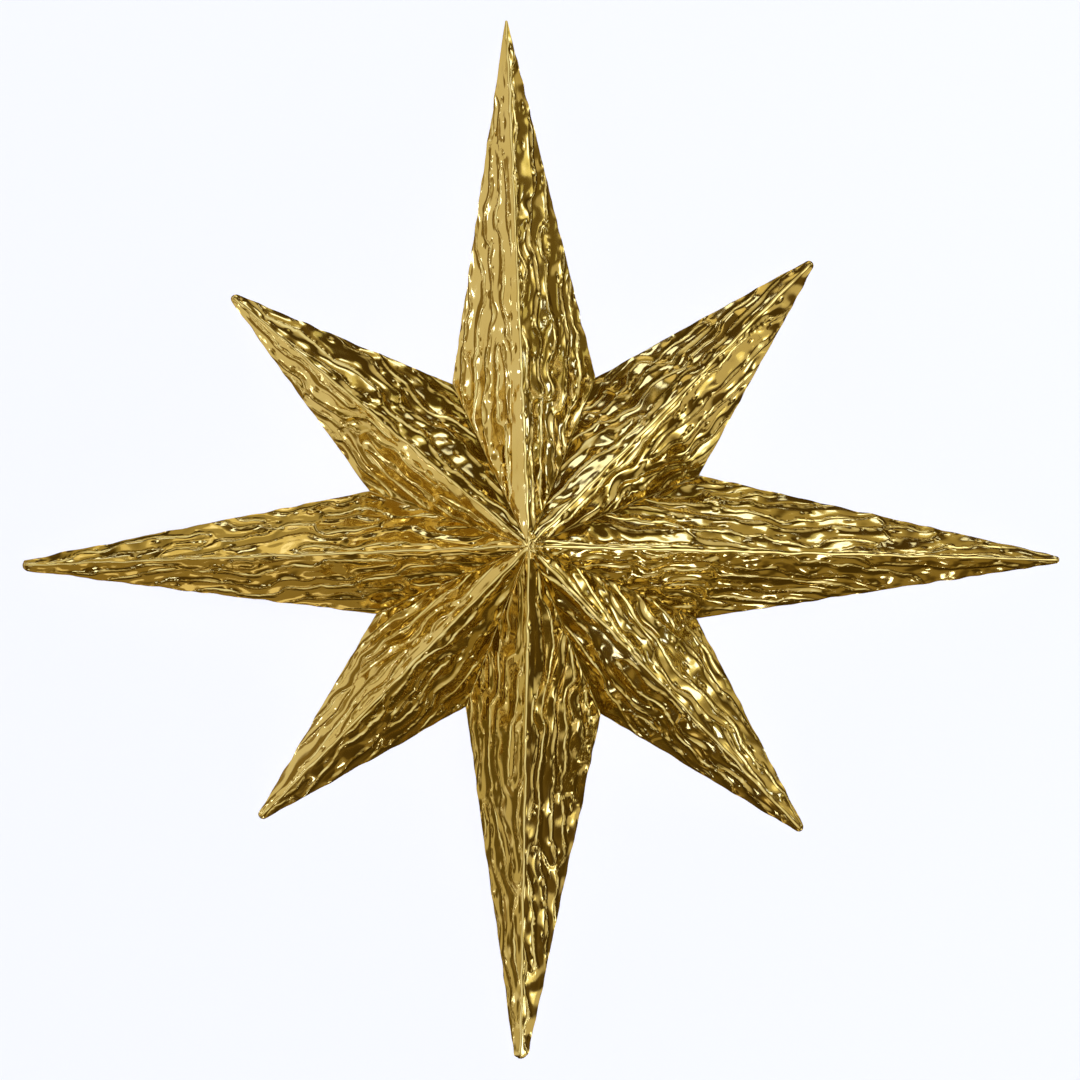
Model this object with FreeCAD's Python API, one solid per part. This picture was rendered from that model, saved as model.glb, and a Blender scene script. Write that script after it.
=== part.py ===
import FreeCAD, Part
import math
import os

from FreeCAD import Vector

# An eight-pointed star, pressed and folded from one sheet of gold foil-faced card.
# It is hollow at the back and lies on its back rim, with its front up.
# +Z points out of the front, +Y towards the north arm and +X towards the east arm.
# The seat plane is Z = 0, and the origin is under the middle of the outline's box.
# Lengths are millimetres and angles are degrees.

# Sizes of the sheet and of its embossing.
SHEET_SIZES = [
    ("apex_height", 20.0),
    ("sheet_thickness", 0.5),
    ("ripples_per_face", 7),
    ("ripple_depth", 0.6),
    ("ripple_unevenness", 0.35),
    ("ripple_wander", 0.3),
]

# The outline, counter-clockwise from the east tip: tips and notches take turns.
# Reach is measured from the apex. Lean is the turn away from the even spacing of the
# sixteen points, because the star is made by hand and no two arms are quite alike.
OUTLINE = [
    ("east_tip", 102.3, -1.5),
    ("east_north_east_notch", 35.5, 0.1),
    ("north_east_tip", 77.3, 0.1),
    ("north_north_east_notch", 34.9, 1.0),
    ("north_tip", 101.5, 2.5),
    ("north_north_west_notch", 34.6, 2.9),
    ("north_west_tip", 74.9, 5.0),
    ("west_north_west_notch", 32.6, 3.5),
    ("west_tip", 97.8, 2.2),
    ("west_south_west_notch", 32.3, 1.5),
    ("south_west_tip", 73.8, 0.2),
    ("south_south_west_notch", 33.4, 0.9),
    ("south_tip", 98.9, -1.0),
    ("south_south_east_notch", 35.2, 0.6),
    ("south_east_tip", 76.0, -1.2),
    ("east_south_east_notch", 35.2, -0.9),
]

# Phases that keep neighbouring ridges, stations and faces from repeating each other.
HEIGHT_PHASES = (1.9, 2.7, 4.1)
WANDER_PHASES = (2.3, 1.7, 3.3)


def fill_sheet(document):
    """Puts every driving dimension in the document's spreadsheet, one alias to a value."""
    sheet = document.addObject("Spreadsheet::Sheet", "dimensions")
    rows = list(SHEET_SIZES)
    for name, reach, lean in OUTLINE:
        rows.append((name + "_reach", reach))
        rows.append((name + "_lean", lean))
    for row, (alias, value) in enumerate(rows, start=1):
        sheet.set(f"A{row}", alias)
        sheet.set(f"B{row}", str(value))
        sheet.setAlias(f"B{row}", alias)
    document.recompute()
    return sheet


def outline_points(sheet):
    """The sixteen tips and notches on the seat plane, measured from the apex's foot."""
    spacing = 360.0 / len(OUTLINE)
    points = []
    for place, (name, _reach, _lean) in enumerate(OUTLINE):
        reach = sheet.get(name + "_reach")
        bearing = math.radians(place * spacing + sheet.get(name + "_lean"))
        points.append(Vector(reach * math.cos(bearing), reach * math.sin(bearing), 0.0))
    return points


def box_middle(points):
    """The middle of the box round some points of the seat plane."""
    across = [point.x for point in points]
    along = [point.y for point in points]
    return Vector((min(across) + max(across)) / 2, (min(along) + max(along)) / 2, 0.0)


def wave(phases, face, line, station):
    """A value from -1 to 1 that changes unevenly from ridge to ridge and along a ridge."""
    line_phase, station_phase, face_phase = phases
    return math.sin(line_phase * line + station_phase * station + face_phase * face)


class PointList:
    """Points of a skin, each kept once, so that neighbouring faces share their edges."""

    def __init__(self):
        self.points = []
        self.numbers = {}

    def number(self, point):
        key = (round(point.x, 5), round(point.y, 5), round(point.z, 5))
        if key not in self.numbers:
            self.numbers[key] = len(self.points)
            self.points.append(point)
        return self.numbers[key]


def face_grid(sheet, face, apex, tip, notch):
    """The points of one sloping face, as rows that run parallel to the arm's spine.

    Row 0 is the spine itself, and each further row starts on the valley and ends on the
    outline, nearer the notch. Odd rows are scoops, pressed in, and even rows are ridges,
    pressed out. The face's three sides keep their place, so that it meets its neighbours.
    """
    rows = 2 * int(sheet.get("ripples_per_face"))
    depth = sheet.get("ripple_depth")
    unevenness = sheet.get("ripple_unevenness")
    wander = sheet.get("ripple_wander")
    spine = tip - apex
    valley = notch - apex
    outward = spine.cross(valley).normalize()
    if outward.z < 0:
        outward = -outward
    sideways = spine.cross(outward).normalize()
    grid = []
    for row in range(rows + 1):
        line = []
        for station in range(rows - row + 1):
            point = apex + valley * (row / rows) + spine * (station / rows)
            if row > 0 and 0 < station < rows - row:
                side = 1 if row % 2 == 0 else -1
                swell = 1 + unevenness * wave(HEIGHT_PHASES, face, row, station)
                point = point + outward * (side * swell * depth / 2)
                point = point + sideways * (wander * wave(WANDER_PHASES, face, row, station))
            line.append(point)
        grid.append(line)
    return grid


def front_skin(sheet, points, apex):
    """The embossed front: its points, its triangles and the outline's points in order."""
    skin = PointList()
    triangles = []
    rim = []
    count = len(points)
    for face in range(count):
        following = (face + 1) % count
        tip_first = face % 2 == 0
        tip = points[face] if tip_first else points[following]
        notch = points[following] if tip_first else points[face]
        grid = face_grid(sheet, face, apex, tip, notch)
        numbers = [[skin.number(point) for point in line] for line in grid]
        for row in range(len(numbers) - 1):
            here = numbers[row]
            beyond = numbers[row + 1]
            for station in range(len(beyond)):
                corners = [here[station], here[station + 1], beyond[station]]
                triangles.append(corners if tip_first else corners[::-1])
                if station < len(beyond) - 1:
                    corners = [here[station + 1], beyond[station + 1], beyond[station]]
                    triangles.append(corners if tip_first else corners[::-1])
        edge = [line[-1] for line in numbers]
        rim += edge[:-1] if tip_first else edge[:0:-1]
    return skin.points, triangles, rim


def back_scale(sheet, points, apex):
    """How much smaller the back skin is than the front one.

    Both skins are the same pyramid, drawn to two scales about the apex's foot. A face's
    distance from that foot, times the difference in scale, is the sheet there. The mean
    distance is used, so that the sheet's thickness is the mean of all the faces.
    """
    distances = []
    for face, point in enumerate(points):
        following = points[(face + 1) % len(points)]
        outward = (point - apex).cross(following - apex).normalize()
        distances.append(abs(outward.dot(apex)))
    mean_distance = sum(distances) / len(distances)
    return 1 - sheet.get("sheet_thickness") / mean_distance


def folded_star_shape(sheet):
    """One closed solid: the front skin, the same skin smaller behind it, and the rim."""
    points = outline_points(sheet)
    apex = Vector(0.0, 0.0, sheet.get("apex_height"))
    front, triangles, rim = front_skin(sheet, points, apex)
    scale = back_scale(sheet, points, apex)
    shift = len(front)
    corners = front + [point * scale for point in front]
    facets = [tuple(triangle) for triangle in triangles]
    for first, second, third in triangles:
        facets.append((third + shift, second + shift, first + shift))
    for place, outer in enumerate(rim):
        outer_next = rim[(place + 1) % len(rim)]
        facets.append((outer, outer + shift, outer_next))
        facets.append((outer_next, outer + shift, outer_next + shift))
    middle = box_middle(points)
    corners = [corner - middle for corner in corners]
    skin = Part.Shape()
    skin.makeShapeFromMesh((corners, facets), 0.0001)
    solid = Part.Solid(Part.Shell(skin.Faces))
    if solid.Volume < 0:
        solid.reverse()
    return solid


document = FreeCAD.newDocument("eight_pointed_star")
dimensions = fill_sheet(document)

folded_star = document.addObject("Part::Feature", "folded_star")
folded_star.Label = "folded_star"
folded_star.Shape = folded_star_shape(dimensions)
folded_star.Placement = FreeCAD.Placement()
document.recompute()

for item in document.Objects:
    if "Invalid" in item.State or "Error" in item.State:
        raise RuntimeError(f"{item.Label} did not compute")
if folded_star.Shape.isNull() or not folded_star.Shape.isValid():
    raise RuntimeError("folded_star has no valid shape")

os.makedirs("parts", exist_ok=True)
folded_star.Shape.exportStep(os.path.join("parts", folded_star.Label + ".step"))
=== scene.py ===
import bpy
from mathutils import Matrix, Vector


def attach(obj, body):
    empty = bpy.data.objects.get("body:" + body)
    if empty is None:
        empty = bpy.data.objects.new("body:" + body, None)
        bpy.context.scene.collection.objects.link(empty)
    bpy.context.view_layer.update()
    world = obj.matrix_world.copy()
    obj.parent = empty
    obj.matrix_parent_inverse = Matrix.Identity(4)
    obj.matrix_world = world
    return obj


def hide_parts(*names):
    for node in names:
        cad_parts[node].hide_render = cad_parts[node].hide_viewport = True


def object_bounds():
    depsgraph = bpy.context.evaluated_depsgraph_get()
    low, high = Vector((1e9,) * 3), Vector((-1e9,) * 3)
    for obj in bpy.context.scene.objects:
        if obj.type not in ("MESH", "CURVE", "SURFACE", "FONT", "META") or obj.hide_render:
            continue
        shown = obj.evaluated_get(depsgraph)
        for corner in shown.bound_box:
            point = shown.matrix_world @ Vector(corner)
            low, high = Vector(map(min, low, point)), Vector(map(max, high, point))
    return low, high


bl_info = {
    "name": "Eight-Pointed Foil Star",
    "version": (1, 0, 0),
    "blender": (4, 5, 0),
    "location": "View3D > Sidebar > Foil Star",
    "description": "Folds an embossed eight-pointed star from foil-faced card and lays it in a studio",
    "category": "Object",
}

import math

import bpy
import numpy as np
from bpy.props import FloatProperty, FloatVectorProperty, PointerProperty
from mathutils import Vector

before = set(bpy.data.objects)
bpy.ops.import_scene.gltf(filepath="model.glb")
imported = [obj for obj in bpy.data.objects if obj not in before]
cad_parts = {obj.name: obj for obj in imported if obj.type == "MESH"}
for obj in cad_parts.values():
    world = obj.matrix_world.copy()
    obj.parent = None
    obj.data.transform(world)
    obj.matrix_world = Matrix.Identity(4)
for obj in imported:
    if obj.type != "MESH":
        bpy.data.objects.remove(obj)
FRAME_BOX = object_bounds()

NODE = "folded_star"
BODY = "root"
PIECE = "embossed_star"
PLACE_LAYER = "face_place"        # place across and along each face, in millimetres
RIDGE_LAYER = "ridge_place"       # distance from the nearest ridge in millimetres, and strength

POINTS = 16                       # eight tips and eight notches, taking turns
ARMS = 8
FRONT_ROWS = 105                  # rows of the front's grid, from a spine to its notch
BACK_ROWS = 35                    # the back is coarser, and its rows divide the front's
ROW_CROWDING = 1.15               # above 1 crowds the rows towards the spine
STATION_CROWDING = 1.3            # above 1 crowds the stations towards the valley

# Reach of each tip and notch from the apex in millimetres, counter-clockwise from the east
# tip. A tip's reach is where its two straight edges would meet, past its blunt end.
REACHES = (
    105.8, 35.5, 79.8, 34.9, 102.5, 34.6, 77.4, 32.6,
    103.6, 32.3, 76.5, 33.4, 105.3, 35.2, 78.3, 35.2,
)
# Turn of each tip and notch away from even spacing, in degrees.
LEANS = (
    -1.5, 0.1, 0.1, 1.0, 2.5, 2.9, 5.0, 3.5,
    2.2, 1.5, 0.2, 0.9, -1.0, 0.6, -1.2, -0.9,
)
# How far each tip is blunted, in millimetres.
BLUNTS = (3.5, 2.5, 1.0, 2.5, 5.8, 2.7, 6.4, 2.3)
# Width of the plain strip beside the spine of each face, in millimetres.
STRIPS = (
    0.0, 0.0, 0.0, 0.0, 4.4, 0.0, 3.4, 0.0,
    0.0, 2.8, 0.0, 1.0, 2.0, 0.0, 0.0, 0.0,
)
MILLI = 0.001


class StarSheet(bpy.types.PropertyGroup):
    """Sizes of the folded and embossed sheet."""

    reaches: FloatVectorProperty(
        name="Reaches", description="Reach of each tip and notch from the apex",
        size=POINTS, default=tuple(reach * MILLI for reach in REACHES), unit="LENGTH",
    )
    leans: FloatVectorProperty(
        name="Leans", description="Turn of each tip and notch away from even spacing",
        size=POINTS, default=tuple(math.radians(lean) for lean in LEANS), unit="ROTATION",
    )
    blunts: FloatVectorProperty(
        name="Blunt tips", description="How far each tip stops short of its meeting edges",
        size=ARMS, default=tuple(blunt * MILLI for blunt in BLUNTS), unit="LENGTH",
    )
    strips: FloatVectorProperty(
        name="Plain strips", description="Width of the plain strip beside each face's spine",
        size=POINTS, default=tuple(strip * MILLI for strip in STRIPS), unit="LENGTH",
    )
    apex_height: FloatProperty(
        name="Apex height", description="Height of the middle above the seat plane",
        default=FRAME_BOX[1][2], unit="LENGTH",
    )
    thickness: FloatProperty(
        name="Sheet", description="Thickness of the foil-faced card", default=0.0005, unit="LENGTH",
    )
    ridge_pitch: FloatProperty(
        name="Ridge pitch", description="Distance between neighbouring embossed ridges",
        default=0.0031, unit="LENGTH",
    )
    ridge_width: FloatProperty(
        name="Ridge width", description="Half-width of the ridges' feet", default=0.00045,
        unit="LENGTH",
    )
    ridge_height: FloatProperty(
        name="Ridge height", description="Height of the ridges' feet over the troughs",
        default=0.0001, unit="LENGTH",
    )
    trough_depth: FloatProperty(
        name="Trough depth", description="Depth of the smooth troughs between the ridges",
        default=0.00011, unit="LENGTH",
    )
    tilt_depth: FloatProperty(
        name="Tilt", description="Size of the slow waves that tilt the troughs sideways",
        default=0.00006, unit="LENGTH",
    )
    swell_depth: FloatProperty(
        name="Swell", description="Size of the waves that tilt the troughs lengthwise",
        default=0.00006, unit="LENGTH",
    )
    warp_depth: FloatProperty(
        name="Warp", description="Slow waviness of a whole face", default=0.0001, unit="LENGTH",
    )
    spine_drop: FloatProperty(
        name="Spine rounding", description="How far rounding lowers the sharp spine",
        default=0.0002, unit="LENGTH",
    )
    spine_wave: FloatProperty(
        name="Spine wave", description="How far a spine wanders off its straight line",
        default=0.00007, unit="LENGTH",
    )
    rim_wave: FloatProperty(
        name="Rim wave", description="Waviness of the cut edge", default=0.00006, unit="LENGTH",
    )


class StarFinish(bpy.types.PropertyGroup):
    """Colours of the foil and of the card behind it."""

    foil_colour: FloatVectorProperty(
        name="Foil", description="Colour of the mirror-gloss foil", subtype="COLOR",
        size=3, min=0, max=1, default=(0.82, 0.63, 0.21),
    )
    foil_colour_deep: FloatVectorProperty(
        name="Foil, deep", description="Colour where the foil is a little deeper",
        subtype="COLOR", size=3, min=0, max=1, default=(0.77, 0.575, 0.165),
    )
    card_colour: FloatVectorProperty(
        name="Card", description="Colour of the card's bare back", subtype="COLOR",
        size=3, min=0, max=1, default=(0.72, 0.66, 0.55),
    )


class StarStudio(bpy.types.PropertyGroup):
    """Floor, camera and light."""

    floor_colour: FloatVectorProperty(
        name="Floor", description="Colour of the plain pale floor", subtype="COLOR",
        size=3, min=0, max=1, default=(0.83, 0.84, 0.90),
    )
    lens: FloatProperty(
        name="Lens", description="Focal length of the camera, in millimetres", default=110.0,
    )
    view_width: FloatProperty(
        name="View width", description="Width of the seat plane that the picture shows",
        default=0.20833, unit="LENGTH",
    )


# The grid of one face


def face_lattice(rows):
    """Row and station numbers of one face's grid, a triangle with rows + 1 points a side.

    Row i runs beside the spine and has rows - i + 1 stations, so the last row is the
    notch alone.
    """
    count = np.arange(rows + 1)
    return np.nonzero(np.add.outer(count, count) <= rows)


def lattice_shares(row, station, rows):
    """How far each grid point lies towards the notch and towards the tip, from 0 to 1.

    Towards the notch: (row / rows) to the power of the row crowding. Towards the tip: what
    is left of 1, times (station / stations in that row) to the power of the crowding.
    """
    to_notch = (row / rows) ** ROW_CROWDING
    stations = np.maximum(rows - row, 1)
    to_tip = (1 - to_notch) * (station / stations) ** STATION_CROWDING
    return to_notch, to_tip


def point_numbers(face, rows, row, station):
    """Number of each grid point of a face in the whole skin, which shares its spines and valleys.

    The apex comes first, then the eight spines, the eight valleys, and the faces' own points.
    """
    tip = ((face + 1) // 2) % ARMS
    valley = face // 2
    own = rows * (rows - 1) // 2
    before = (row - 1) * rows - (row - 1) * row // 2
    numbers = 1 + 2 * ARMS * rows + face * own + before + station - 1
    numbers = np.where(station == 0, 1 + ARMS * rows + valley * rows + row - 1, numbers)
    numbers = np.where(row == 0, 1 + tip * rows + station - 1, numbers)
    return np.where((row == 0) & (station == 0), 0, numbers)


def lattice_triangles(face, rows):
    """Triangles of a face's grid, counter-clockwise seen from the front."""
    row, station = face_lattice(rows)
    inner = row + station < rows
    row, station = row[inner], station[inner]
    here = point_numbers(face, rows, row, station)
    onward = point_numbers(face, rows, row, station + 1)
    beyond = point_numbers(face, rows, row + 1, station)
    upward = np.stack([here, onward, beyond], axis=1)
    both = row + station < rows - 1
    across = point_numbers(face, rows, row[both] + 1, station[both] + 1)
    downward = np.stack([onward[both], across, beyond[both]], axis=1)
    triangles = np.concatenate([upward, downward])
    return triangles if face % 2 == 0 else triangles[:, ::-1]


def rim_numbers(rows):
    """Numbers of the rim's points in order, counter-clockwise from the east tip."""
    loops = []
    for face in range(POINTS):
        row = np.arange(rows) if face % 2 == 0 else np.arange(rows, 0, -1)
        loops.append(point_numbers(face, rows, row, rows - row))
    return np.concatenate(loops)


# The relief


def smooth_step(value, low, high):
    """0 below low, 1 above high, and 3t^2 - 2t^3 between them."""
    share = np.clip((value - low) / (high - low), 0, 1)
    return share * share * (3 - 2 * share)


def banded_waves(across, along, draws, wavelength, spread, tilt, count=48):
    """Sum of plane waves with nearly one wavelength and nearly one direction, of unit size.

    Each wave is cos(k (across cos a + along sin a) + phase): k is drawn round 2 pi over the
    wavelength by the given spread, and the angle a by the given tilt, in radians.
    """
    number = 2 * np.pi / wavelength * (1 + spread * draws.standard_normal(count))
    angle = tilt * draws.standard_normal(count)
    phase = draws.uniform(0, 2 * np.pi, count)
    total = np.zeros_like(across)
    for wave in range(count):
        reach = across * math.cos(angle[wave]) + along * math.sin(angle[wave])
        total += np.cos(number[wave] * reach + phase[wave])
    return total * math.sqrt(2 / count)


def ridge_waves(across, along, draws, wavelength, spread, tilt, count=48):
    """A banded wave, its twin a quarter wave on, and the size of its slope per metre."""
    number = 2 * np.pi / wavelength * (1 + spread * draws.standard_normal(count))
    angle = tilt * draws.standard_normal(count)
    phase = draws.uniform(0, 2 * np.pi, count)
    total = np.zeros_like(across)
    twin = np.zeros_like(across)
    slope_across = np.zeros_like(across)
    slope_along = np.zeros_like(across)
    for wave in range(count):
        side, fore = number[wave] * math.cos(angle[wave]), number[wave] * math.sin(angle[wave])
        turn = across * side + along * fore + phase[wave]
        total += np.cos(turn)
        twin += np.sin(turn)
        slope_across -= side * np.sin(turn)
        slope_along -= fore * np.sin(turn)
    size = math.sqrt(2 / count)
    return total * size, twin * size, np.hypot(slope_across, slope_along) * size


# Wavelengths of the relief in metres. The swell runs along the arm, and the rest mostly across.
WIGGLE_LENGTH = 0.009
SHORT_WIGGLE_LENGTH = 0.005
UNEVENNESS_LENGTH = 0.012
SWELL_LENGTH = 0.0062
TILT_LENGTH = 0.0085
WARP_LENGTH = 0.022
# How far the wiggles move a ridge sideways, in metres.
WIGGLE_REACH = 0.00031
SHORT_WIGGLE_REACH = 0.0001
# How much deeper or shallower than the mean a trough gets, and the level between both.
UNEVENNESS = 0.35
TROUGH_LEVEL = 0.6


def fine_relief(across, along, sheet, draws, plain):
    """Height of the ridges and troughs over a flat face, and the way to the nearest ridge.

    Ridges stand on the lines where a banded wave passes zero, and fall off as
    exp(-(distance / width)^2). Between them lie troughs, as deep as the size of the wave
    over the length of the wave and its quarter-wave twin. Neighbouring troughs swell and
    sink in turn along the arm. plain is 1 where no ridges run.
    """
    wiggle = banded_waves(across, along, draws, WIGGLE_LENGTH, 0.3, 1.3) * WIGGLE_REACH
    wiggle += banded_waves(across, along, draws, SHORT_WIGGLE_LENGTH, 0.2, 1.4) * SHORT_WIGGLE_REACH
    length = 2 * sheet.ridge_pitch
    band, twin, slope = ridge_waves(across + wiggle, along, draws, length, 0.16, 0.18)
    distance = band / np.hypot(slope, 0.45 * 2 * np.pi / length)
    ridges = np.exp(-(distance / sheet.ridge_width) ** 2)
    strength = np.sqrt(band ** 2 + twin ** 2 + 0.1)
    troughs = np.sqrt(band ** 2 + 0.02) / strength
    uneven = 1 + UNEVENNESS * banded_waves(across, along, draws, UNEVENNESS_LENGTH, 0.4, 1.5)
    height = sheet.ridge_height * ridges + sheet.trough_depth * (TROUGH_LEVEL - uneven * troughs)
    swell = banded_waves(along, across, draws, SWELL_LENGTH, 0.3, 0.5)
    height += sheet.swell_depth * swell * band / strength
    return height * (1 - plain), distance


def slow_relief(side, along, sheet, draws):
    """Slow waves that tilt an arm's sheet this way and that, the same on both its faces.

    side is the place across the arm, above zero on one face and below it on the other.
    """
    height = sheet.tilt_depth * banded_waves(side, along, draws, TILT_LENGTH, 0.3, 0.4)
    height += 0.5 * sheet.swell_depth * banded_waves(along, side, draws, SWELL_LENGTH, 0.3, 0.5)
    return height + sheet.warp_depth * banded_waves(side, along, draws, WARP_LENGTH, 0.4, 1.5)


def blunted(points, direction, reach, blunt, half_angle):
    """Pulls an arm's pointed end back to a round one, without touching heights.

    With r the radius of the circle that touches both edges and ends where the blunt tip
    does, a point at distance a along the arm past the circle's touching line moves to the
    circle: centre + sqrt(r^2 - ((reach - a) tan(half angle))^2).
    """
    to_centre = blunt / (1 - math.sin(half_angle))
    radius = to_centre * math.sin(half_angle)
    touching = reach - to_centre * math.cos(half_angle) ** 2
    along = points[:, :2] @ direction
    half_width = np.clip(reach - along, 0, None) * math.tan(half_angle)
    moved = reach - to_centre + np.sqrt(np.clip(radius ** 2 - half_width ** 2, 0, None))
    shift = np.where(along > touching, moved - along, 0)
    points[:, :2] += shift[:, None] * direction
    return points


def outline(sheet):
    """The sixteen tips and notches on the seat plane, round the apex's foot."""
    place = np.arange(POINTS)
    bearing = 2 * np.pi * place / POINTS + np.array(sheet.leans)
    reach = np.array(sheet.reaches)
    return np.stack([reach * np.cos(bearing), reach * np.sin(bearing), 0 * reach], axis=1)


def box_middle(points, sheet):
    """Middle of the box round the blunt outline: the origin's place under the star."""
    ends = points.copy()
    for arm in range(ARMS):
        tip = ends[2 * arm]
        tip *= 1 - sheet.blunts[arm] / np.linalg.norm(tip)
    return (ends.min(axis=0) + ends.max(axis=0)) / 2


def unit(vector):
    return vector / np.linalg.norm(vector)


def upward(vector):
    return vector if vector[2] > 0 else -vector


class FaceWays:
    """Corners and directions of one sloping face.

    spine_way runs down the spine, side_way from it over the face, and level_way from it
    without falling. normal points out of the face, crest_way out of the spine.
    """

    def __init__(self, face, sheet, points):
        self.tip_place = 2 * (((face + 1) // 2) % ARMS)
        self.apex = np.array([0, 0, sheet.apex_height])
        self.tip = points[self.tip_place]
        self.notch = points[2 * (face // 2) + 1]
        self.spine = self.tip - self.apex
        self.valley = self.notch - self.apex
        self.length = np.linalg.norm(self.spine)
        self.spine_way = unit(self.spine)
        self.tip_way = unit(self.tip[:2])
        self.side_way = unit(self.valley - self.spine_way * (self.valley @ self.spine_way))
        self.normal = upward(unit(np.cross(self.spine_way, self.side_way)))
        level_way = unit(np.cross([0, 0, 1], self.spine_way))
        self.level_way = level_way if level_way @ self.side_way > 0 else -level_way
        self.crest_way = upward(np.cross(self.spine_way, self.level_way))
        self.slope = math.acos(np.clip(self.normal @ self.crest_way, -1, 1))


# First numbers of the seeds, so that each face and each arm draws its own waves.
RIDGE_SEED = 700
SPINE_SEED = 800
EDGE_SEED = 900
SLOW_SEED = 1000
# Lengths over which the relief dies out, in metres: fine and slow relief at the valleys,
# all of it at the rim and the tips, crests and troughs at the spine, and ridges at a strip.
VALLEY_FADE = 0.0005
SLOW_VALLEY_FADE = 0.0018
RIM_FADE = 0.0015
TIP_FADE = (0.001, 0.006)
CREST_FADE = 0.0004
TROUGH_FADE = 0.0012
SLOW_SPINE_FADE = 0.003
STRIP_FADE = 0.0004
STRIP_GAP = 0.0001
STRIP_NARROWING = 1.4             # a strip ends at 1 / this of its spine
RIM_SHARE = 0.4                   # what the relief keeps at the rim
RIB_HEIGHT = 0.00004              # height of the bead along a spine
SWAY_WIDTH = 0.0011               # how far from its spine a face follows the spine's sway
EDGE_DEPTH = 0.002                # how far from the rim a face follows the rim's waves
LEAST_HEIGHT = 0.00002            # how far the front stays above the seat plane


def face_relief(face, ways, sheet, across, along, from_valley, from_rim, arc_width, near_tip):
    """Lift of a face's points off its plane, their distance from a ridge, and its strength."""
    narrowing = np.clip(1 - STRIP_NARROWING * along / ways.length, 0, 1)
    strip = arc_width + STRIP_GAP + sheet.strips[face] * narrowing
    plain = 1 - smooth_step(across, strip - STRIP_FADE, strip)
    draws = np.random.default_rng(RIDGE_SEED + face)
    fine, distance = fine_relief(across, along, sheet, draws, plain)
    side = across if face % 2 == 0 else -across
    slow = slow_relief(side, along, sheet, np.random.default_rng(SLOW_SEED + ways.tip_place))
    at_rim = RIM_SHARE + (1 - RIM_SHARE) * smooth_step(from_rim, 0, RIM_FADE)
    share = smooth_step(from_valley, 0, VALLEY_FADE) * at_rim
    crest_share = share * smooth_step(across, arc_width, arc_width + CREST_FADE)
    share = share * smooth_step(across, 0.8 * arc_width, arc_width + TROUGH_FADE)
    slow *= smooth_step(from_valley, 0, SLOW_VALLEY_FADE) * at_rim
    slow *= near_tip * (0.5 + 0.5 * smooth_step(across, 0, SLOW_SPINE_FADE))
    return fine * share * near_tip + slow, distance, crest_share * (1 - plain)


def swayed(placed, ways, sheet, across, along):
    """Moves the points near the spine with it, as it wanders sideways and up and down."""
    ends = smooth_step(np.minimum(along, ways.length - along), 0.0005, 0.005)
    near_spine = ends * np.exp(-(across / SWAY_WIDTH) ** 2)
    draws = np.random.default_rng(SPINE_SEED + ways.tip_place)
    sway = sheet.spine_wave * banded_waves(along, 0 * across, draws, 0.009, 0.5, 0.0, 24)
    swell = 0.6 * sheet.spine_wave * banded_waves(along, 0 * across, draws, 0.006, 0.5, 0.0, 24)
    turn_way = np.array([-ways.tip_way[1], ways.tip_way[0], 0])
    placed += (near_spine * sway)[:, None] * turn_way
    placed[:, 2] += near_spine * (swell - sheet.spine_wave * 0.5)
    return placed


def edged(placed, face, ways, sheet, along, to_notch, from_rim, relief_share):
    """Moves the points near the rim in and out with the waves of the cut edge."""
    edge_way = unit(ways.tip - ways.notch)
    draws = np.random.default_rng(EDGE_SEED + face)
    wave = banded_waves(along, 0 * along, draws, 0.0065, 0.45, 0.0, 24)
    window = smooth_step(np.minimum(to_notch, 1 - to_notch), 0.0, 0.12)
    outward = unit(np.array([edge_way[1], -edge_way[0]]))
    outward = outward if outward @ ways.notch[:2] > 0 else -outward
    push = sheet.rim_wave * wave * window * np.exp(-from_rim / EDGE_DEPTH) * relief_share
    placed[:, :2] += push[:, None] * outward
    return placed


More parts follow.
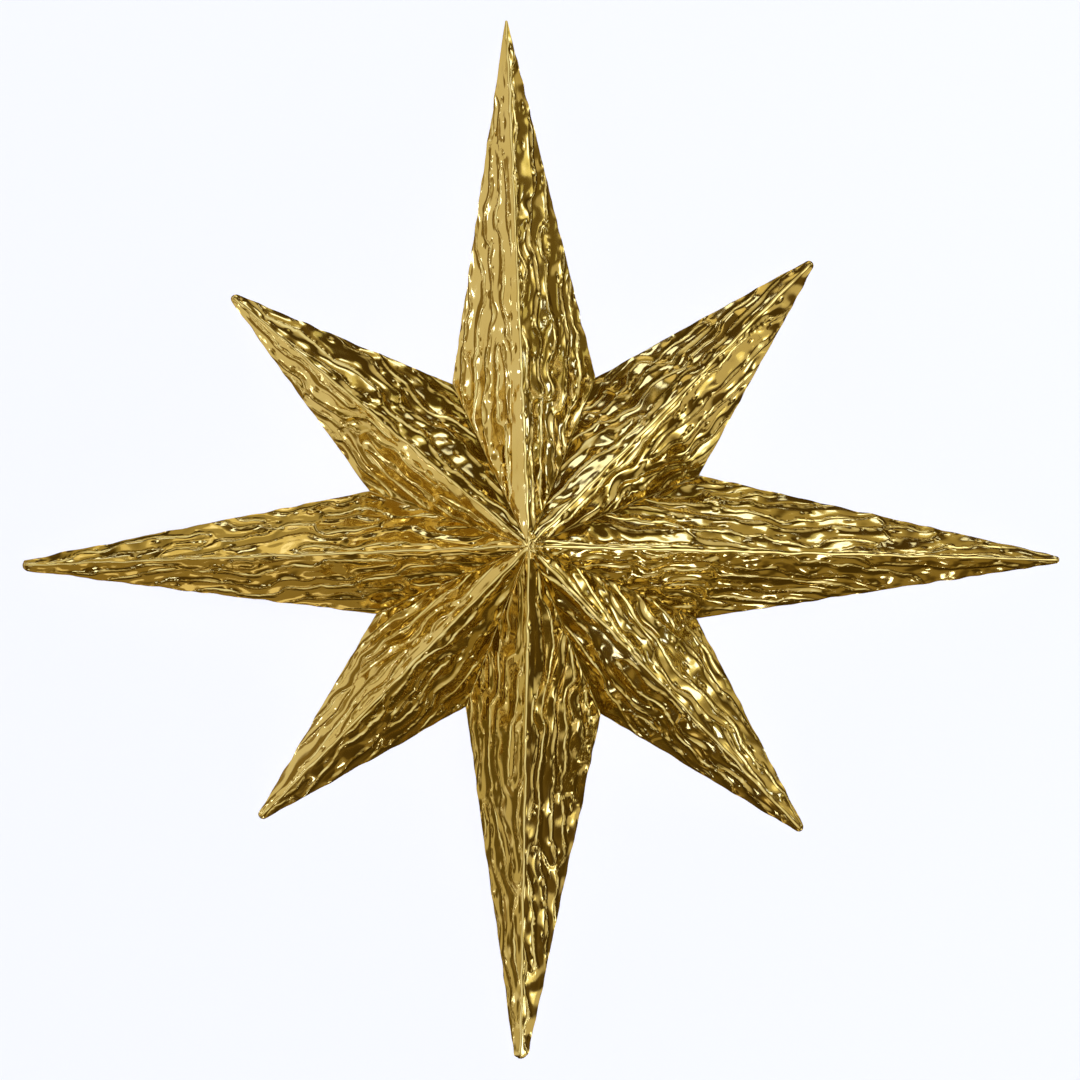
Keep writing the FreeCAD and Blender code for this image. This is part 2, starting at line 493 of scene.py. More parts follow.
def face_points(face, rows, sheet, points, relief_share):
    """Points of one sloping face, from its spine to its valley and out to the rim.

    Flat place: apex + share to notch x (notch - apex) + share to tip x (tip - apex). The
    relief lifts it along the face's normal. Near the spine the two faces are joined by an
    arc of the angle between them, and near the valley the relief dies out. Comes with the
    signed distance to the nearest ridge in millimetres and the strength of the embossing.
    """
    ways = FaceWays(face, sheet, points)
    row, station = face_lattice(rows)
    to_notch, to_tip = lattice_shares(row, station, rows)
    flat = ways.apex + to_notch[:, None] * ways.valley + to_tip[:, None] * ways.spine
    across = to_notch * (ways.valley @ ways.side_way)
    along = (flat - ways.apex) @ ways.spine_way
    crease_angle = math.acos(np.clip(ways.spine_way @ unit(ways.valley), -1, 1))
    from_valley = to_tip * ways.length * math.sin(crease_angle)
    edge_reach = np.linalg.norm(np.cross(unit(ways.tip - ways.notch), ways.apex - ways.notch))
    from_rim = (1 - to_notch - to_tip) * edge_reach
    near_tip = smooth_step(np.linalg.norm(flat - ways.tip, axis=1), *TIP_FADE) * relief_share

    radius = sheet.spine_drop / (1 / math.cos(ways.slope) - 1)
    arc_width = radius * math.tan(ways.slope)
    lift, distance, strength = face_relief(
        face, ways, sheet, across, along, from_valley, from_rim, arc_width, near_tip,
    )
    turn = ways.slope * across / arc_width
    rib = RIB_HEIGHT * (1 - smooth_step(across, 0, arc_width * 1.1))
    foot = flat - across[:, None] * ways.side_way
    centre = foot - ways.crest_way * (radius / math.cos(ways.slope))
    spoke = np.cos(turn)[:, None] * ways.crest_way + np.sin(turn)[:, None] * ways.level_way
    arc = centre + (radius + rib + lift)[:, None] * spoke
    on_arc = across < arc_width
    placed = np.where(on_arc[:, None], arc, flat + lift[:, None] * ways.normal)
    placed = swayed(placed, ways, sheet, across, along)
    placed = edged(placed, face, ways, sheet, along, to_notch, from_rim, relief_share)

    half_angle = math.acos(np.clip(unit((ways.tip - ways.notch)[:2]) @ ways.tip_way, -1, 1))
    reach = np.linalg.norm(ways.tip[:2])
    placed = blunted(placed, ways.tip_way, reach, sheet.blunts[ways.tip_place // 2], half_angle)
    on_rim = row + station == rows
    placed[:, 2] = np.where(on_rim, 0, np.maximum(placed[:, 2], LEAST_HEIGHT))
    return placed, np.stack([distance / MILLI, strength], axis=1)


def skin(rows, sheet, points, relief_share):
    """All points of one skin of the star, numbered as point_numbers has it.

    Comes with each face's distances to its ridges.
    """
    total = 1 + 2 * ARMS * rows + POINTS * rows * (rows - 1) // 2
    placed = np.zeros((total, 3))
    row, station = face_lattice(rows)
    ridges = []
    for face in range(POINTS):
        numbers = point_numbers(face, rows, row, station)
        placed[numbers], of_face = face_points(face, rows, sheet, points, relief_share)
        ridges.append(of_face)
    return placed, ridges


# The crumple at the apex, in metres: reach, half-width and height of its ring, and the
# half-width and depth of its flattened middle.
KNOT_REACH = 0.0014
KNOT_WIDTH = 0.0007
KNOT_HEIGHT = 0.0002
KNOT_FLAT = 0.0003


def knot(points):
    """The tiny crumple where the spines meet: an uneven ring round a flattened middle.

    The ring's reach and height change with the bearing by a few cosines.
    """
    radius = np.hypot(points[:, 0], points[:, 1])
    turn = np.arctan2(points[:, 1], points[:, 0])
    reach = KNOT_REACH * (1 + 0.25 * np.cos(3 * turn + 0.7))
    uneven = 1 + 0.6 * np.cos(2 * turn + 1) + 0.4 * np.cos(4 * turn)
    points[:, 2] += KNOT_HEIGHT * uneven * np.exp(-((radius - reach) / KNOT_WIDTH) ** 2)
    points[:, 2] -= KNOT_FLAT * np.exp(-(radius / KNOT_WIDTH) ** 2)
    return points


def star_mesh(sheet):
    """The closed sheet: its front, the same pyramid a little smaller behind it, and the rim.

    The back's scale is 1 - thickness / (mean distance of the faces from the apex's foot).
    """
    points = outline(sheet)
    apex = np.array([0, 0, sheet.apex_height])
    normals = np.cross(points - apex, np.roll(points, -1, axis=0) - apex)
    distances = np.abs(normals @ apex) / np.linalg.norm(normals, axis=1)
    scale = 1 - sheet.thickness / distances.mean()
    front, ridges = skin(FRONT_ROWS, sheet, points, 1.0)
    front = knot(front)
    back = skin(BACK_ROWS, sheet, points, 0.8)[0] * scale
    front_faces = np.concatenate([lattice_triangles(f, FRONT_ROWS) for f in range(POINTS)])
    back_faces = np.concatenate([lattice_triangles(f, BACK_ROWS) for f in range(POINTS)])
    back_faces = back_faces[:, ::-1] + len(front)
    outer = rim_numbers(FRONT_ROWS)
    inner = rim_numbers(BACK_ROWS) + len(front)
    ratio = FRONT_ROWS // BACK_ROWS
    start = outer.reshape(-1, ratio)
    onward = np.roll(outer, -1).reshape(-1, ratio)
    inner_next = np.roll(inner, -1)
    seat = [np.stack([start[:, 0], inner, onward[:, 0]], axis=1)]
    seat.append(np.stack([onward[:, 0], inner, inner_next], axis=1))
    for step in range(1, ratio):
        seat.append(np.stack([start[:, step], inner_next, onward[:, step]], axis=1))
    seat = np.concatenate(seat)
    corners = np.concatenate([front, back]) - box_middle(points, sheet)
    faces = np.concatenate([front_faces, back_faces, seat])
    material = np.repeat([0, 1, 1], [len(front_faces), len(back_faces), len(seat)])
    creases = np.concatenate([
        np.stack([outer, np.roll(outer, -1)], axis=1),
        np.stack([inner, inner_next], axis=1),
    ])
    layers = {
        PLACE_LAYER: at_corners(FRONT_ROWS, face_places(FRONT_ROWS, sheet, points)),
        RIDGE_LAYER: at_corners(FRONT_ROWS, ridges),
    }
    return corners, faces, material, creases, layers


FACE_SHIFT = 100                  # millimetres by which each face's marks are moved on


def face_places(rows, sheet, points):
    """Place of each face's grid points across and along it, in millimetres.

    Each face is moved on by FACE_SHIFT along and across, so that no two share fine marks.
    """
    row, station = face_lattice(rows)
    to_notch, to_tip = lattice_shares(row, station, rows)
    found = []
    for face in range(POINTS):
        ways = FaceWays(face, sheet, points)
        across = to_notch * (ways.valley @ ways.side_way)
        along = to_notch * (ways.valley @ ways.spine_way) + to_tip * ways.length
        found.append(np.stack([across, along], axis=1) / MILLI + FACE_SHIFT * face)
    return found


def at_corners(rows, values):
    """Pairs of values at each face's grid points, as pairs at the corners of its triangles."""
    row, station = face_lattice(rows)
    total = 1 + 2 * ARMS * rows + POINTS * rows * (rows - 1) // 2
    found = []
    for face, of_face in enumerate(values):
        pairs = np.zeros((total, 2))
        pairs[point_numbers(face, rows, row, station)] = of_face
        found.append(pairs[lattice_triangles(face, rows)].reshape(-1, 2))
    return np.concatenate(found)


def make_object(name, corners, faces, material, creases, layers):
    """A mesh object from whole arrays, shaded smooth but for the sharp creases."""
    mesh = bpy.data.meshes.new(name)
    mesh.vertices.add(len(corners))
    mesh.vertices.foreach_set("co", corners.astype(np.float32).ravel())
    mesh.loops.add(faces.size)
    mesh.loops.foreach_set("vertex_index", faces.astype(np.int32).ravel())
    mesh.polygons.add(len(faces))
    mesh.polygons.foreach_set("loop_start", np.arange(0, faces.size, 3, dtype=np.int32))
    mesh.polygons.foreach_set("material_index", material.astype(np.int32))
    mesh.update(calc_edges=True)
    for layer_name, pairs in layers.items():
        layer = mesh.uv_layers.new(name=layer_name)
        values = np.zeros((faces.size, 2), dtype=np.float32)
        values[: len(pairs)] = pairs
        layer.data.foreach_set("uv", values.ravel())
    ends = np.zeros(len(mesh.edges) * 2, dtype=np.int32)
    mesh.edges.foreach_get("vertices", ends)
    ends = np.sort(ends.reshape(-1, 2), axis=1).astype(np.int64)
    sharp = np.sort(creases, axis=1).astype(np.int64)
    total = len(corners)
    is_sharp = np.isin(ends[:, 0] * total + ends[:, 1], sharp[:, 0] * total + sharp[:, 1])
    mesh.shade_smooth()
    marks = mesh.attributes.get("sharp_edge") or mesh.attributes.new("sharp_edge", "BOOLEAN", "EDGE")
    marks.data.foreach_set("value", is_sharp)
    star = bpy.data.objects.new(name, mesh)
    bpy.context.scene.collection.objects.link(star)
    return star


# Finishes

# Half-width and height of the thin crests on the ridges, and how far they waver, all in
# millimetres.
CREST_WIDTH = 0.28
CREST_HEIGHT = 0.12
CREST_WAVER = 0.5
CREST_WAVER_SIZE = (3.0, 1.6)
# Size across and along of the dimples and of the cells that hold the pits, and the height
# of the dimples and depth of the pits, all in millimetres. PIT_SHARE is how much of a
# cell its pit fills, and PIT_CHANCE the level above which a cell has one.
DIMPLE_SIZE = (2.0, 4.5)
DIMPLE_HEIGHT = 0.055
PIT_CELL = (2.3, 4.2)
PIT_DEPTH = 0.17
PIT_SHARE = 0.36
PIT_CHANCE = (0.55, 0.59)
# The tiny ring beside the apex: how far east of it in metres, and in millimetres its
# radius, half-width and height.
RING_OFFSET = 0.0009
RING_RADIUS = 0.5
RING_WIDTH = 0.2
RING_HEIGHT = 0.3
# The fine crumple round the apex: the distances between which it grows from nothing to
# full, and its height, in millimetres.
CRUMPLE_REACH = (2.6, 0.9)
CRUMPLE_HEIGHT = 0.3
FOIL_ROUGHNESS = (0.05, 0.13)
CARD_ROUGHNESS = 0.85
FIBRE_HEIGHT = 0.00004            # metres
# Numbers of a colour mix node's sockets: its factor, its two colours and its result.
MIX_FACTOR = 0
MIX_FIRST = 6
MIX_SECOND = 7
MIX_RESULT = 2


def new_material(name):
    material = bpy.data.materials.new(name)
    material.use_nodes = True
    tree = material.node_tree
    return material, tree, tree.nodes["Principled BSDF"]


def noise_node(tree, coordinates, scale, detail):
    node = tree.nodes.new("ShaderNodeTexNoise")
    node.inputs["Scale"].default_value = scale
    node.inputs["Detail"].default_value = detail
    tree.links.new(coordinates.outputs["Object"], node.inputs["Vector"])
    return node


def smooth_mask(tree, value, low, high):
    """A smooth step of a node's value from 0 at low to 1 at high."""
    step = tree.nodes.new("ShaderNodeMapRange")
    step.interpolation_type = "SMOOTHSTEP"
    step.inputs["From Min"].default_value = low
    step.inputs["From Max"].default_value = high
    tree.links.new(value, step.inputs["Value"])
    return step.outputs["Result"]


def product(tree, first, second):
    times = tree.nodes.new("ShaderNodeMath")
    times.operation = "MULTIPLY"
    tree.links.new(first, times.inputs[0])
    tree.links.new(second, times.inputs[1])
    return times.outputs["Value"]


def apex_crumple(tree, coordinates, apex):
    """Height in millimetres of the fine crumple round the apex and of the tiny ring beside it.

    The ring is exp(-((distance - radius) / width)^2) round its own middle.
    """
    away = tree.nodes.new("ShaderNodeVectorMath")
    away.operation = "SUBTRACT"
    away.inputs[1].default_value = (apex[0] + RING_OFFSET, apex[1], 0)
    tree.links.new(coordinates.outputs["Object"], away.inputs[0])
    level = tree.nodes.new("ShaderNodeVectorMath")
    level.operation = "MULTIPLY"
    level.inputs[1].default_value = (1 / MILLI, 1 / MILLI, 0)
    tree.links.new(away.outputs["Vector"], level.inputs[0])
    length = tree.nodes.new("ShaderNodeVectorMath")
    length.operation = "LENGTH"
    tree.links.new(level.outputs["Vector"], length.inputs[0])
    distance = length.outputs["Value"]
    offset = tree.nodes.new("ShaderNodeMath")
    offset.operation = "SUBTRACT"
    offset.inputs[1].default_value = RING_RADIUS
    tree.links.new(distance, offset.inputs[0])
    share = scaled(tree, offset.outputs["Value"], 1 / RING_WIDTH)
    ring = scaled(tree, bell(tree, share), RING_HEIGHT)
    crumple = noise_node(tree, coordinates, 900, 1)
    near = smooth_mask(tree, distance, *CRUMPLE_REACH)
    crumple = scaled(tree, product(tree, crumple.outputs["Fac"], near), CRUMPLE_HEIGHT)
    return summed(tree, ring, crumple)


def bell(tree, value):
    """exp(-value^2)."""
    fall = tree.nodes.new("ShaderNodeMath")
    fall.operation = "EXPONENT"
    tree.links.new(scaled(tree, product(tree, value, value), -1.0), fall.inputs[0])
    return fall.outputs["Value"]


def foil_material(finish, apex):
    """Mirror-gloss gold foil: its tone and its gloss drift a little, over its fine marks."""
    material, tree, shader = new_material("gold_foil")
    coordinates = tree.nodes.new("ShaderNodeTexCoord")
    drift = noise_node(tree, coordinates, 60, 3)
    tones = tree.nodes.new("ShaderNodeValToRGB")
    tones.color_ramp.elements[0].position = 0.35
    tones.color_ramp.elements[0].color = (*finish.foil_colour_deep, 1)
    tones.color_ramp.elements[1].position = 0.62
    tones.color_ramp.elements[1].color = (*finish.foil_colour, 1)
    tree.links.new(drift.outputs["Fac"], tones.inputs["Fac"])
    tree.links.new(tones.outputs["Color"], shader.inputs["Base Color"])
    shader.inputs["Metallic"].default_value = 1.0
    haze = noise_node(tree, coordinates, 220, 4)
    gloss = tree.nodes.new("ShaderNodeMapRange")
    gloss.inputs["To Min"].default_value = FOIL_ROUGHNESS[0]
    gloss.inputs["To Max"].default_value = FOIL_ROUGHNESS[1]
    tree.links.new(haze.outputs["Fac"], gloss.inputs["Value"])
    tree.links.new(gloss.outputs["Result"], shader.inputs["Roughness"])
    hammered = summed(tree, hammer_marks(tree), apex_crumple(tree, coordinates, apex))
    bump = tree.nodes.new("ShaderNodeBump")
    bump.inputs["Strength"].default_value = 1.0
    bump.inputs["Distance"].default_value = MILLI
    tree.links.new(hammered, bump.inputs["Height"])
    tree.links.new(bump.outputs["Normal"], shader.inputs["Normal"])
    return material


def stretched(tree, places, size):
    """A face's places divided by a size across it and a size along it, in millimetres."""
    across, along = size
    node = tree.nodes.new("ShaderNodeVectorMath")
    node.operation = "MULTIPLY"
    node.inputs[1].default_value = (1 / across, 1 / along, 1)
    tree.links.new(places.outputs["UV"], node.inputs[0])
    return node.outputs["Vector"]


def face_noise(tree, places, size, detail):
    """A noise on the faces' own places, of the given size across and along them."""
    node = tree.nodes.new("ShaderNodeTexNoise")
    node.noise_dimensions = "2D"
    node.inputs["Scale"].default_value = 1.0
    node.inputs["Detail"].default_value = detail
    tree.links.new(stretched(tree, places, size), node.inputs["Vector"])
    return node.outputs["Fac"]


def scaled(tree, value, factor):
    times = tree.nodes.new("ShaderNodeMath")
    times.operation = "MULTIPLY"
    times.inputs[1].default_value = factor
    tree.links.new(value, times.inputs[0])
    return times.outputs["Value"]


def summed(tree, first, second):
    plus = tree.nodes.new("ShaderNodeMath")
    plus.operation = "ADD"
    tree.links.new(first, plus.inputs[0])
    tree.links.new(second, plus.inputs[1])
    return plus.outputs["Value"]


def ridge_crests(tree, waver):
    """Height in millimetres of the thin crests on the ridges: exp(-(distance / width)^2).

    A little of a noise is added to the distance, so that the crests waver.
    """
    places = tree.nodes.new("ShaderNodeUVMap")
    places.uv_map = RIDGE_LAYER
    parts = tree.nodes.new("ShaderNodeSeparateXYZ")
    tree.links.new(places.outputs["UV"], parts.inputs["Vector"])
    distance = summed(tree, parts.outputs["X"], scaled(tree, waver, CREST_WAVER))
    crest = bell(tree, scaled(tree, distance, 1 / CREST_WIDTH))
    return scaled(tree, product(tree, crest, parts.outputs["Y"]), CREST_HEIGHT)


def pits(tree, places):
    """Height in millimetres of small sharp pits, in the middles of some cells of a pattern."""
    scatter = tree.nodes.new("ShaderNodeTexVoronoi")
    scatter.voronoi_dimensions = "2D"
    scatter.inputs["Scale"].default_value = 1.0
    tree.links.new(stretched(tree, places, PIT_CELL), scatter.inputs["Vector"])
    nearness = tree.nodes.new("ShaderNodeMapRange")
    nearness.inputs["From Min"].default_value = PIT_SHARE
    nearness.inputs["From Max"].default_value = 0.0
    tree.links.new(scatter.outputs["Distance"], nearness.inputs["Value"])
    pit = product(tree, nearness.outputs["Result"], nearness.outputs["Result"])
    chance = tree.nodes.new("ShaderNodeSeparateColor")
    tree.links.new(scatter.outputs["Color"], chance.inputs["Color"])
    chosen = smooth_mask(tree, chance.outputs["Red"], *PIT_CHANCE)
    return scaled(tree, product(tree, pit, chosen), -PIT_DEPTH)


def hammer_marks(tree):
    """Height in millimetres of the fine marks: crests, drawn-out dimples and small sharp pits."""
    places = tree.nodes.new("ShaderNodeUVMap")
    places.uv_map = PLACE_LAYER
    dimples = scaled(tree, face_noise(tree, places, DIMPLE_SIZE, 0.5), DIMPLE_HEIGHT)
    crests = ridge_crests(tree, face_noise(tree, places, CREST_WAVER_SIZE, 1.0))
    return summed(tree, summed(tree, dimples, pits(tree, places)), crests)


def card_material(finish):
    """Bare card: matte and faintly mottled, with fine fibres."""
    material, tree, shader = new_material("bare_card")
    coordinates = tree.nodes.new("ShaderNodeTexCoord")
    mottle = noise_node(tree, coordinates, 300, 5)
    tones = tree.nodes.new("ShaderNodeValToRGB")
    light = Vector(finish.card_colour)
    tones.color_ramp.elements[0].color = (*(light * 0.86), 1)
    tones.color_ramp.elements[1].color = (*light, 1)
    tree.links.new(mottle.outputs["Fac"], tones.inputs["Fac"])
    tree.links.new(tones.outputs["Color"], shader.inputs["Base Color"])
    shader.inputs["Roughness"].default_value = CARD_ROUGHNESS
    fibres = noise_node(tree, coordinates, 2500, 4)
    bump = tree.nodes.new("ShaderNodeBump")
    bump.inputs["Strength"].default_value = 0.4
    bump.inputs["Distance"].default_value = FIBRE_HEIGHT
    tree.links.new(fibres.outputs["Fac"], bump.inputs["Height"])
    tree.links.new(bump.outputs["Normal"], shader.inputs["Normal"])
    return material


class FOILSTAR_OT_fold_star(bpy.types.Operator):
    """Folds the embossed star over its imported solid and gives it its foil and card"""

    bl_idname = "foilstar.fold_star"
    bl_label = "Fold the star"

    def execute(self, context):
        sheet = context.scene.star_sheet
        finish = context.scene.star_finish
        star = make_object(PIECE, *star_mesh(sheet))
        apex = -box_middle(outline(sheet), sheet)
        star.data.materials.append(foil_material(finish, apex))
        star.data.materials.append(card_material(finish))
        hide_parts(NODE)
        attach(star, BODY)
        return {"FINISHED"}


# Studio

# Each lamp: name, bearing and elevation of its middle in degrees, width and height in
# degrees as seen from the star, brightness, and colour.
DAYLIGHT = (0.80, 1.0, 1.9)
HAZE = (0.92, 0.94, 0.62)
GLINT = (0.88, 1.0, 1.5)
LAMPS = (
    ("overhead_softbox", 20.0, 66.0, 32.0, 32.0, 1.2, (0.92, 1.0, 1.25)),
    ("east_window", 13.0, 5.0, 5.0, 5.0, 2.3, DAYLIGHT),
    ("east_haze", 13.0, -3.0, 10.0, 9.0, 0.4, HAZE),
    ("east_haze_high", 6.0, 12.0, 7.0, 7.0, 0.4, HAZE),
    ("east_door", 31.0, 6.0, 9.0, 9.0, 1.8, DAYLIGHT),
    ("east_door_haze", 31.0, 6.0, 15.0, 15.0, 0.5, HAZE),
    ("south_east_window", -32.0, 9.0, 10.0, 9.0, 1.8, DAYLIGHT),
    ("south_east_haze", -32.0, 8.0, 16.0, 16.0, 0.5, HAZE),
    ("north_east_window", 79.0, 0.0, 12.0, 8.0, 1.6, DAYLIGHT),
    ("north_east_haze", 79.0, 0.0, 14.0, 20.0, 0.35, HAZE),
    ("north_strip", 119.0, 8.0, 11.0, 9.0, 1.5, GLINT),
    ("north_panel", 102.0, -2.0, 18.0, 20.0, 0.36, (1.0, 0.92, 0.72)),
    ("north_panel_glint", 101.0, -4.0, 8.0, 7.0, 0.4, GLINT),
    ("north_shelf", 60.0, 9.0, 7.0, 7.0, 1.0, GLINT),
    ("west_window", 167.0, 10.0, 4.0, 4.0, 5.0, DAYLIGHT),
    ("south_west_glint", 208.0, 11.0, 4.0, 4.0, 3.0, GLINT),
    ("south_panel", 259.0, -4.0, 12.0, 10.0, 0.5, (1.0, 0.93, 0.8)),
    ("south_glint", 281.0, 3.0, 5.0, 5.0, 3.8, GLINT),
    ("south_west_spark", 242.0, 9.0, 3.0, 4.0, 3.0, GLINT),
)
LAMP_DISTANCE = 1.6
LAMP_POWER = 4.0                  # watts per square metre of a lamp of brightness 1
FILL_SIZE = 3.0
FILL_HEIGHT = 2.4
FILL_POWER = 31.0
WALL_FADE = 0.06                  # how softly a wall's lower and upper edge end
FLOOR_HALF = 6.0
FLOOR_DROP = 0.00002              # how far the floor lies under the seat plane
CAMERA_SHIFT = (-0.00019, -0.0001)
SENSOR_WIDTH = 36.0


def way(bearing, elevation):
    """Unit vector of a bearing and an elevation, both in degrees."""
    turn = math.radians(bearing)
    rise = math.radians(elevation)
    level = math.cos(rise)
    return Vector((level * math.cos(turn), level * math.sin(turn), math.sin(rise)))


def hang_lamp(name, bearing, elevation, width, height, brightness, colour):
    """An area lamp that looks at the star and covers the given angles as seen from it."""
    lamp = bpy.data.lights.new(name, "AREA")
    lamp.shape = "RECTANGLE"
    lamp.size = 2 * LAMP_DISTANCE * math.tan(math.radians(width) / 2)
    lamp.size_y = 2 * LAMP_DISTANCE * math.tan(math.radians(height) / 2)
    lamp.energy = LAMP_POWER * lamp.size * lamp.size_y * brightness
    lamp.color = colour
    holder = bpy.data.objects.new(name, lamp)
    holder.location = way(bearing, elevation) * LAMP_DISTANCE
    holder.rotation_mode = "QUATERNION"
    holder.rotation_quaternion = way(bearing, elevation).to_track_quat("Z", "Y")
    holder.visible_camera = False
    bpy.context.scene.collection.objects.link(holder)


def hang_fill():
    """A wide soft lamp overhead that lights the floor and the card, and is in no reflection."""
    lamp = bpy.data.lights.new("floor_fill", "AREA")
    lamp.shape = "SQUARE"
    lamp.size = FILL_SIZE
    lamp.energy = FILL_POWER
    holder = bpy.data.objects.new("floor_fill", lamp)
    holder.location = (0, 0, FILL_HEIGHT)
    holder.visible_camera = False
    holder.visible_glossy = False
    bpy.context.scene.collection.objects.link(holder)


# The room's colour at each height: height of a direction, from -1 below to 1 above, and
# the colour there.
ROOM_HEIGHTS = (
    (-1.0, (0.055, 0.033, 0.005)),
    (-0.30, (0.065, 0.041, 0.008)),
    (-0.08, (0.13, 0.087, 0.024)),
    (0.05, (0.095, 0.060, 0.014)),
    (0.42, (0.06, 0.037, 0.007)),
    (0.54, (0.55, 0.49, 0.36)),
    (0.70, (0.70, 0.66, 0.58)),
    (0.82, (0.92, 0.98, 1.2)),
)
# Each stretch of wall painted over it: bearing, half-width of its core and of its end in
# degrees, lowest and highest height of a direction, and its colour.
WALLS = (
    ("west_wall", 176.0, 38.0, 54.0, -0.34, 0.30, (0.74, 0.69, 0.62)),
    ("west_ceiling", 175.0, 40.0, 60.0, 0.30, 0.5, (0.30, 0.22, 0.10)),
    ("west_floor", 176.0, 42.0, 56.0, -0.9, -0.31, (0.22, 0.15, 0.045)),
    ("west_door", 191.0, 5.0, 10.0, -0.9, 0.5, (0.13, 0.09, 0.02)),
    ("west_door_leaf", 191.0, 7.0, 11.0, -0.2, 0.14, (0.56, 0.49, 0.33)),
    ("east_wall", 17.0, 14.0, 20.0, -0.5, 0.34, (0.15, 0.106, 0.03)),
    ("east_door_wall", 35.0, 11.0, 16.0, -0.3, 0.24, (0.55, 0.48, 0.31)),
    ("south_east_wall", -36.0, 13.0, 18.0, -0.5, 0.24, (0.62, 0.55, 0.40)),
    ("north_wall", 90.0, 18.0, 26.0, -0.6, 0.11, (0.42, 0.34, 0.16)),
    ("south_wall", 261.0, 9.0, 15.0, -0.6, 0.12, (0.29, 0.21, 0.078)),
    ("south_shelf_wall", 281.0, 7.0, 12.0, -0.2, 0.12, (0.28, 0.205, 0.072)),
    ("south_shelf", 281.0, 7.0, 12.0, 0.20, 0.5, (0.26, 0.185, 0.06)),
)
PALE_BACKDROP = (0.86, 0.86, 0.85)


def room_light():
    """The room round the star: a colour for each height, with walls painted over it.

    What the camera sees directly is a plain pale backdrop.
    """
    world = bpy.data.worlds.new("room")
    bpy.context.scene.world = world
    world.use_nodes = True
    tree = world.node_tree
    background = tree.nodes["Background"]
    coordinates = tree.nodes.new("ShaderNodeTexCoord")
    parts = tree.nodes.new("ShaderNodeSeparateXYZ")
    tree.links.new(coordinates.outputs["Generated"], parts.inputs["Vector"])
    height = parts.outputs["Z"]
    share = tree.nodes.new("ShaderNodeMapRange")
    share.inputs["From Min"].default_value = -1.0
    tree.links.new(height, share.inputs["Value"])
    ramp = tree.nodes.new("ShaderNodeValToRGB")
    stops = ramp.color_ramp.elements
    while len(stops) < len(ROOM_HEIGHTS):
        stops.new(0.5)
    for stop, (level, colour) in zip(stops, ROOM_HEIGHTS):
        stop.position = (level + 1) / 2
        stop.color = (*colour, 1)
    tree.links.new(share.outputs["Result"], ramp.inputs["Fac"])
    total = ramp.outputs["Color"]
    level_way = tree.nodes.new("ShaderNodeVectorMath")
    level_way.operation = "MULTIPLY"
    level_way.inputs[1].default_value = (1, 1, 0)
    tree.links.new(coordinates.outputs["Generated"], level_way.inputs[0])
    level_unit = tree.nodes.new("ShaderNodeVectorMath")
    level_unit.operation = "NORMALIZE"
    tree.links.new(level_way.outputs["Vector"], level_unit.inputs[0])
    for name, bearing, core, end, low, high, colour in WALLS:
        near = tree.nodes.new("ShaderNodeVectorMath")
        near.operation = "DOT_PRODUCT"
        near.name = name
        near.inputs[1].default_value = way(bearing, 0)
        tree.links.new(level_unit.outputs["Vector"], near.inputs[0])
        mask = smooth_mask(
            tree, near.outputs["Value"], math.cos(math.radians(end)), math.cos(math.radians(core)),
        )
        above = smooth_mask(tree, height, low - WALL_FADE, low + WALL_FADE)
        below = smooth_mask(tree, height, high + WALL_FADE, high - WALL_FADE)
        mask = product(tree, product(tree, mask, above), below)
        paint = tree.nodes.new("ShaderNodeMix")
        paint.data_type = "RGBA"
        tree.links.new(mask, paint.inputs[MIX_FACTOR])
        tree.links.new(total, paint.inputs[MIX_FIRST])
        paint.inputs[MIX_SECOND].default_value = (*colour, 1)
        total = paint.outputs[MIX_RESULT]
    path = tree.nodes.new("ShaderNodeLightPath")
    choose = tree.nodes.new("ShaderNodeMix")
    choose.data_type = "RGBA"
    choose.inputs[MIX_SECOND].default_value = (*PALE_BACKDROP, 1)
    tree.links.new(path.outputs["Is Camera Ray"], choose.inputs[MIX_FACTOR])
    tree.links.new(total, choose.inputs[MIX_FIRST])
    tree.links.new(choose.outputs[MIX_RESULT], background.inputs["Color"])


def lay_floor(studio):
    """A wide plain floor at the seat plane, seen by the camera and kept out of reflections."""
    mesh = bpy.data.meshes.new("floor")
    corners = [(-1, -1), (1, -1), (1, 1), (-1, 1)]
    corners = [(x * FLOOR_HALF, y * FLOOR_HALF, -FLOOR_DROP) for x, y in corners]
    mesh.from_pydata(corners, [], [(0, 1, 2, 3)])
    floor = bpy.data.objects.new("floor", mesh)
    bpy.context.scene.collection.objects.link(floor)
    material, _tree, shader = new_material("pale_floor")
    shader.inputs["Base Color"].default_value = (*studio.floor_colour, 1)
    shader.inputs["Roughness"].default_value = 0.9
    mesh.materials.append(material)
    floor.visible_glossy = False
    floor.visible_shadow = False


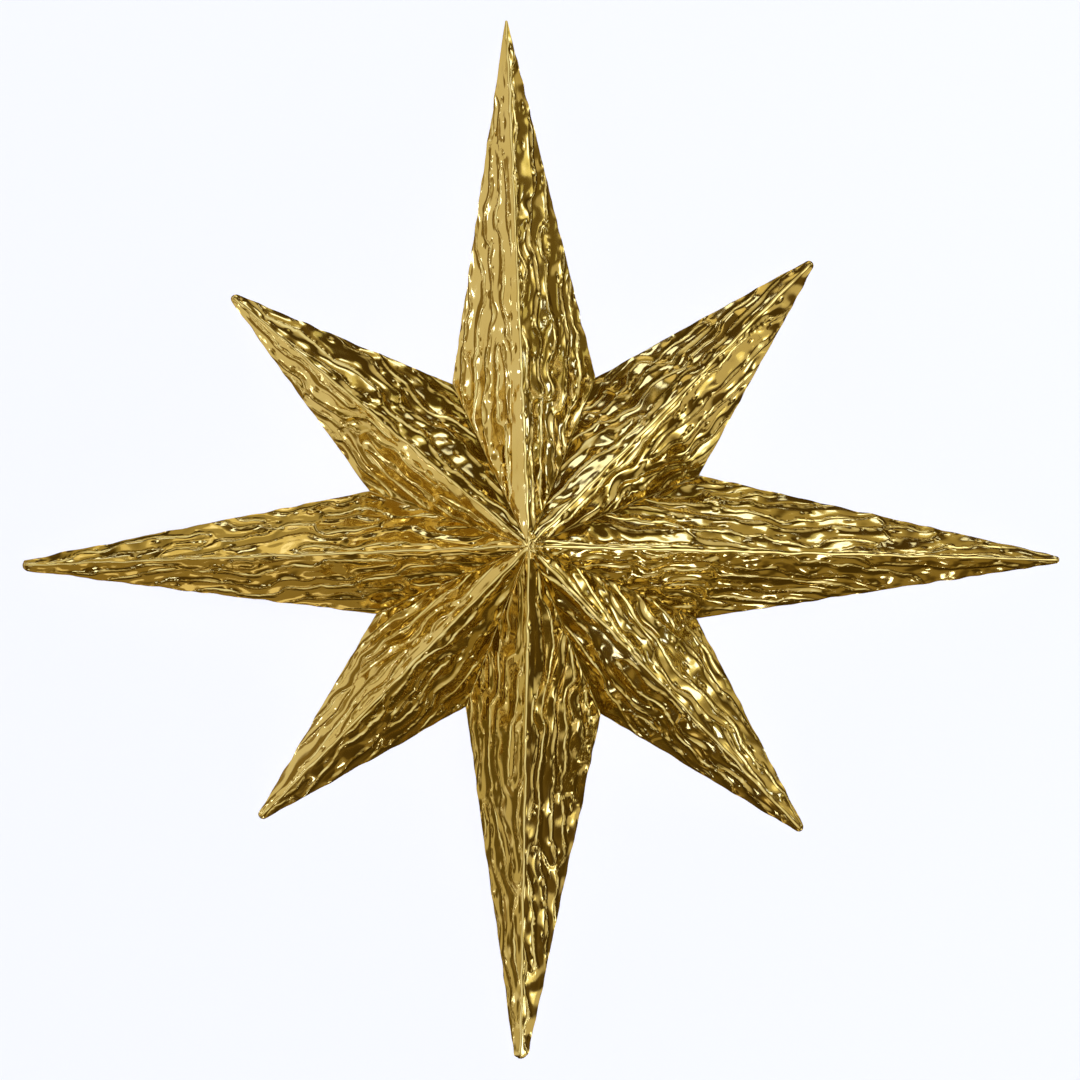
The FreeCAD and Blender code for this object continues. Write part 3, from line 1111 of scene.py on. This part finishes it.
def place_camera(studio):
    """A long lens straight above the star, framed as the photograph is."""
    camera = bpy.data.cameras.new("camera")
    camera.lens = studio.lens
    camera.sensor_width = SENSOR_WIDTH
    holder = bpy.data.objects.new("camera", camera)
    holder.location = (*CAMERA_SHIFT, studio.view_width * studio.lens / SENSOR_WIDTH)
    bpy.context.scene.collection.objects.link(holder)
    bpy.context.scene.camera = holder


class FOILSTAR_OT_set_stage(bpy.types.Operator):
    """Lays the pale floor, hangs the lamps and places the camera above the star"""

    bl_idname = "foilstar.set_stage"
    bl_label = "Set the stage"

    def execute(self, context):
        studio = context.scene.star_studio
        lay_floor(studio)
        room_light()
        for lamp in LAMPS:
            hang_lamp(*lamp)
        hang_fill()
        place_camera(studio)
        view = context.scene.view_settings
        view.view_transform = "Standard"
        view.look = "None"
        return {"FINISHED"}


class FOILSTAR_PT_panel(bpy.types.Panel):
    """Sizes and steps of the foil star"""

    bl_idname = "FOILSTAR_PT_panel"
    bl_label = "Foil Star"
    bl_space_type = "VIEW_3D"
    bl_region_type = "UI"
    bl_category = "Foil Star"

    def draw(self, context):
        column = self.layout.column()
        for group in (context.scene.star_sheet, context.scene.star_finish, context.scene.star_studio):
            for name in group.__annotations__:
                column.prop(group, name)
        column.operator(FOILSTAR_OT_fold_star.bl_idname)
        column.operator(FOILSTAR_OT_set_stage.bl_idname)


CLASSES = (
    StarSheet,
    StarFinish,
    StarStudio,
    FOILSTAR_OT_fold_star,
    FOILSTAR_OT_set_stage,
    FOILSTAR_PT_panel,
)


def register():
    for made in CLASSES:
        bpy.utils.register_class(made)
    bpy.types.Scene.star_sheet = PointerProperty(type=StarSheet)
    bpy.types.Scene.star_finish = PointerProperty(type=StarFinish)
    bpy.types.Scene.star_studio = PointerProperty(type=StarStudio)


def unregister():
    del bpy.types.Scene.star_studio
    del bpy.types.Scene.star_finish
    del bpy.types.Scene.star_sheet
    for made in reversed(CLASSES):
        bpy.utils.unregister_class(made)


def main():
    register()
    bpy.ops.foilstar.fold_star()
    bpy.ops.foilstar.set_stage()


if __name__ == "__main__":
    main()
